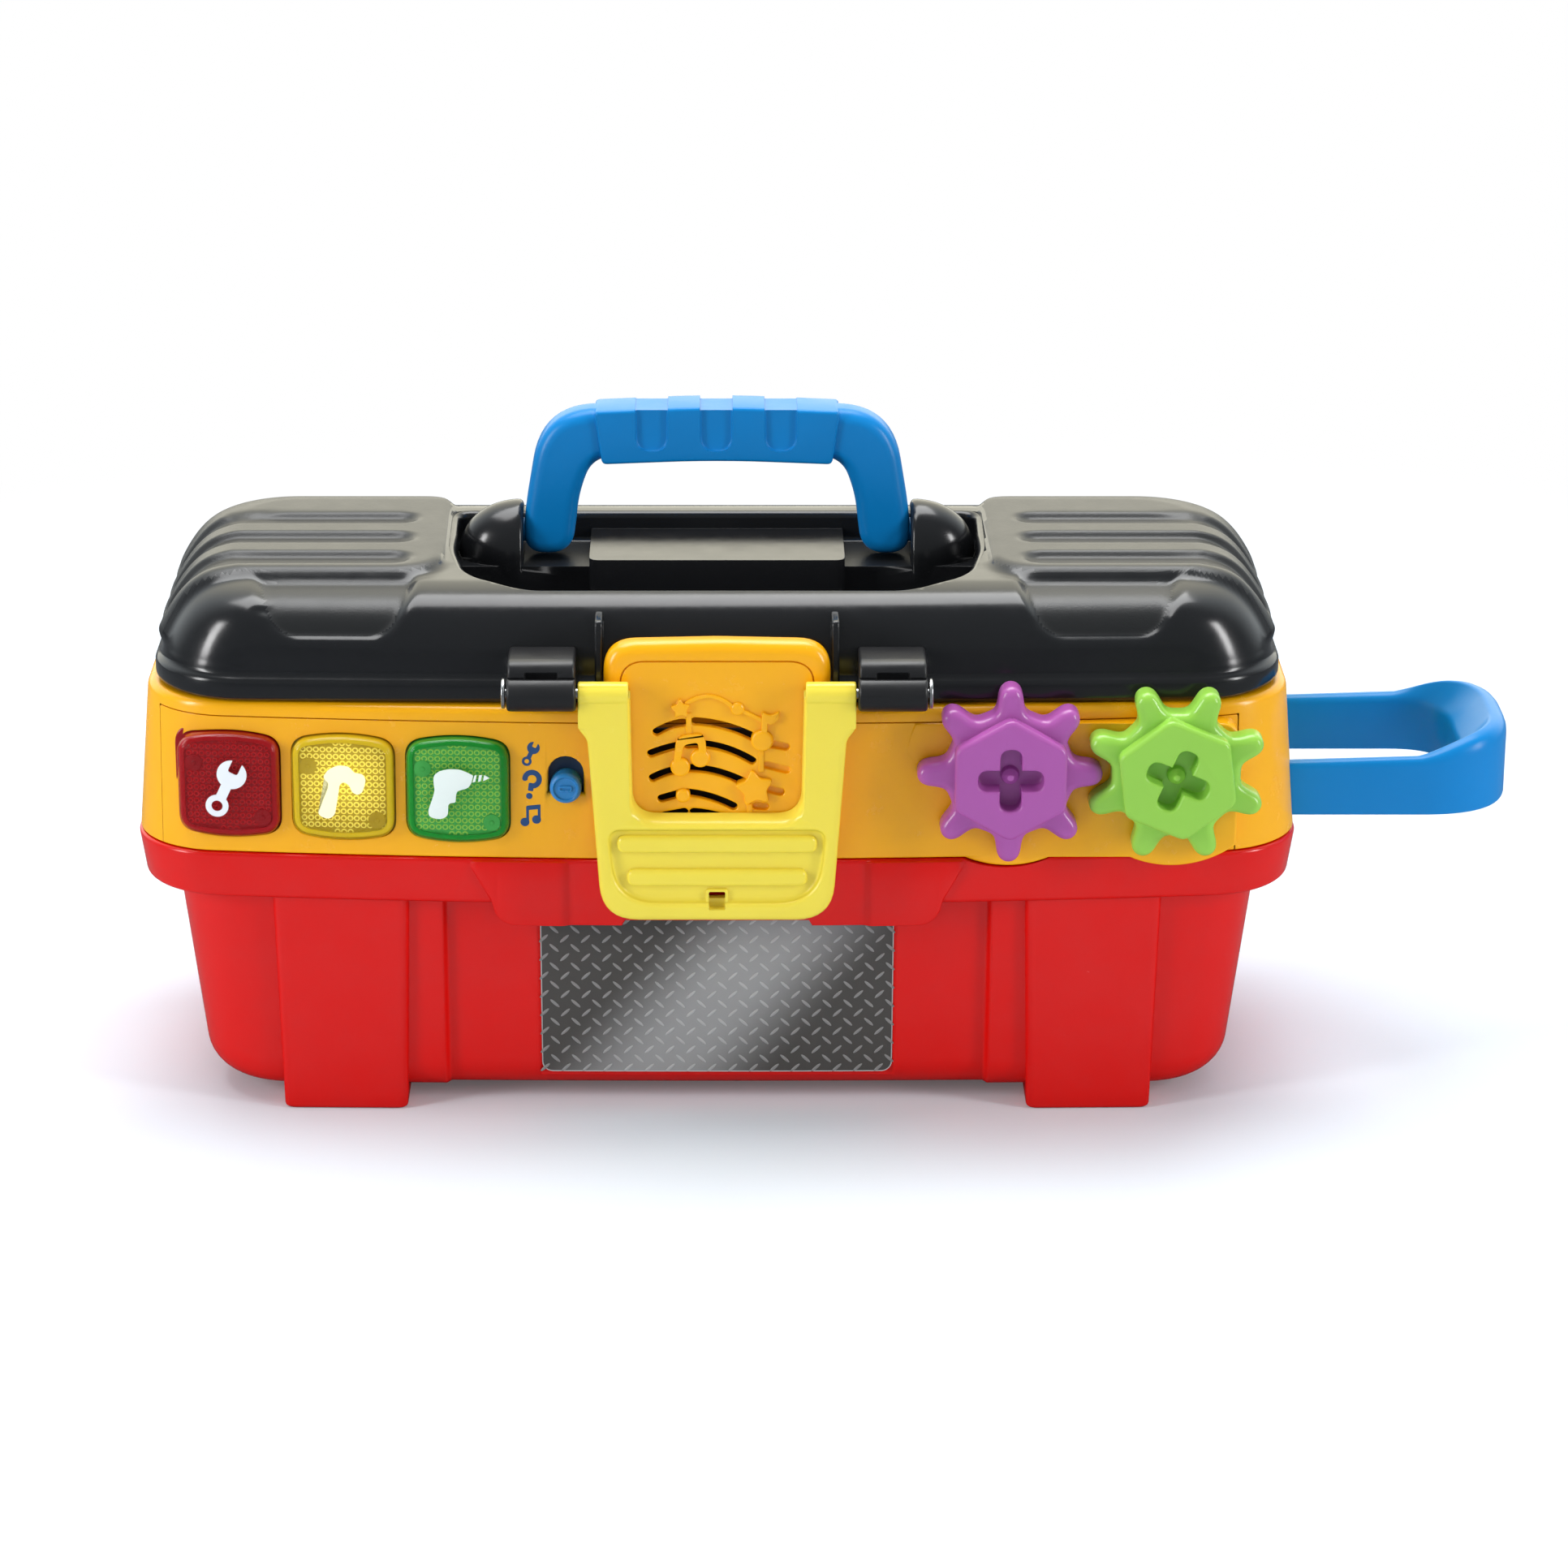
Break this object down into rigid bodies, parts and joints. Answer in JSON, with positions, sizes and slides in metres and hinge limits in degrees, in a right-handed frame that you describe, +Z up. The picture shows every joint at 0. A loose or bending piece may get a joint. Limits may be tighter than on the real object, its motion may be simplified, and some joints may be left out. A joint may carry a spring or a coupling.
{
  "type": "toy tool box",
  "caption": "Child's tool box with a hinged lid, folding carry handle, front latch, press buttons, mode switch, meshing toy gears and a side tool loop.",
  "frame": {"origin": "centre of the whole object's plan, on the surface it stands on", "axes": "+X to the tool loop at the right end, -Y out of the front with the latch and buttons, +Z up"},
  "size_m": [0.3624, 0.1404, 0.1763],
  "materials": {
    "red_plastic": "semi-gloss moulded",
    "orange_plastic": "semi-gloss moulded",
    "black_plastic": "polished",
    "blue_plastic": "semi-gloss moulded",
    "yellow_plastic": "semi-gloss moulded",
    "purple_plastic": "semi-gloss moulded",
    "green_plastic": "semi-gloss moulded",
    "red_lens": "translucent, dotted inside",
    "yellow_lens": "translucent, dotted inside",
    "green_lens": "translucent, dotted inside",
    "led_clear": "clear",
    "black_fittings": "moulded",
    "circuit_board": "solder mask",
    "speaker_cone": "pressed paper",
    "battery_case": "plain sleeve",
    "plated_steel": "zinc plated"
  },
  "bodies": {
    "box": {"tub": "red_plastic", "band_housing": "orange_plastic", "front_cover": "orange_plastic", "speaker_panel": "orange_plastic", "speaker_basket": "plated_steel", "speaker_cone": "speaker_cone", "circuit_board": "circuit_board", "key_switch_1": "black_fittings", "key_switch_2": "black_fittings", "key_switch_3": "black_fittings", "button_led_1": "led_clear", "button_led_2": "led_clear", "button_led_3": "led_clear", "switch_body": "black_fittings", "tool_loop": "blue_plastic", "battery_door": "orange_plastic", "battery_door_screw": "plated_steel", "battery_upper": "battery_case", "battery_lower": "battery_case", "battery_contact_left": "plated_steel", "battery_contact_right": "plated_steel", "hinge_pin_left": "plated_steel", "hinge_pin_right": "plated_steel"},
    "lid": {"lid": "black_plastic", "latch_bracket_left": "black_plastic", "latch_bracket_right": "black_plastic", "latch_pin_left": "plated_steel", "latch_pin_right": "plated_steel"},
    "handle": {"carry_handle": "blue_plastic"},
    "latch": {"latch": "yellow_plastic"},
    "spanner_button": {"spanner_button": "red_lens"},
    "hammer_button": {"hammer_button": "yellow_lens"},
    "drill_button": {"drill_button": "green_lens"},
    "mode_switch": {"mode_switch": "blue_plastic"},
    "purple_gear": {"purple_gear": "purple_plastic", "gear_washer_1": "plated_steel", "gear_screw_1": "plated_steel"},
    "green_gear": {"green_gear": "green_plastic", "gear_washer_2": "plated_steel", "gear_screw_2": "plated_steel"}
  },
  "joints": [
    {"name": "lid_hinge", "type": "hinge", "parent": "box", "child": "lid", "pos_m": [-0.02885, 0.06619, 0.1136], "axis": [-1, 0, 0], "range_deg": [0, 100]},
    {"name": "handle_pivot", "type": "hinge", "parent": "lid", "child": "handle", "pos_m": [-0.02885, 0.01579, 0.14], "axis": [1, 0, 0], "range_deg": [0, 90]},
    {"name": "latch_pivot", "type": "hinge", "parent": "lid", "child": "latch", "pos_m": [-0.02885, -0.06566, 0.1209], "axis": [-1, 0, 0], "range_deg": [0, 100]},
    {"name": "spanner_press", "type": "slide", "parent": "box", "child": "spanner_button", "axis": [0.0956, 0.9954, 0], "range_m": [0, 0.002], "stiffness_N_per_m": 500, "springref_m": -0.001},
    {"name": "hammer_press", "type": "slide", "parent": "box", "child": "hammer_button", "axis": [0.0733, 0.9973, 0], "range_m": [0, 0.002], "stiffness_N_per_m": 500, "springref_m": -0.001},
    {"name": "drill_press", "type": "slide", "parent": "box", "child": "drill_button", "axis": [0.0508, 0.9987, 0], "range_m": [0, 0.002], "stiffness_N_per_m": 500, "springref_m": -0.001},
    {"name": "mode_slide", "type": "slide", "parent": "box", "child": "mode_switch", "axis": [0, 0, 1], "range_m": [-0.0026, 0.0026]},
    {"name": "purple_gear_spin", "type": "hinge", "parent": "box", "child": "purple_gear", "pos_m": [0.04615, -0.05546, 0.0973], "axis": [0, 1, 0], "continuous": true},
    {"name": "green_gear_spin", "type": "hinge", "parent": "box", "child": "green_gear", "pos_m": [0.08875, -0.05546, 0.0973], "axis": [0, 1, 0], "continuous": true}
  ],
  "couplings": [
    {"joint": "green_gear_spin", "follows": "purple_gear_spin", "ratio": -1}
  ]
}
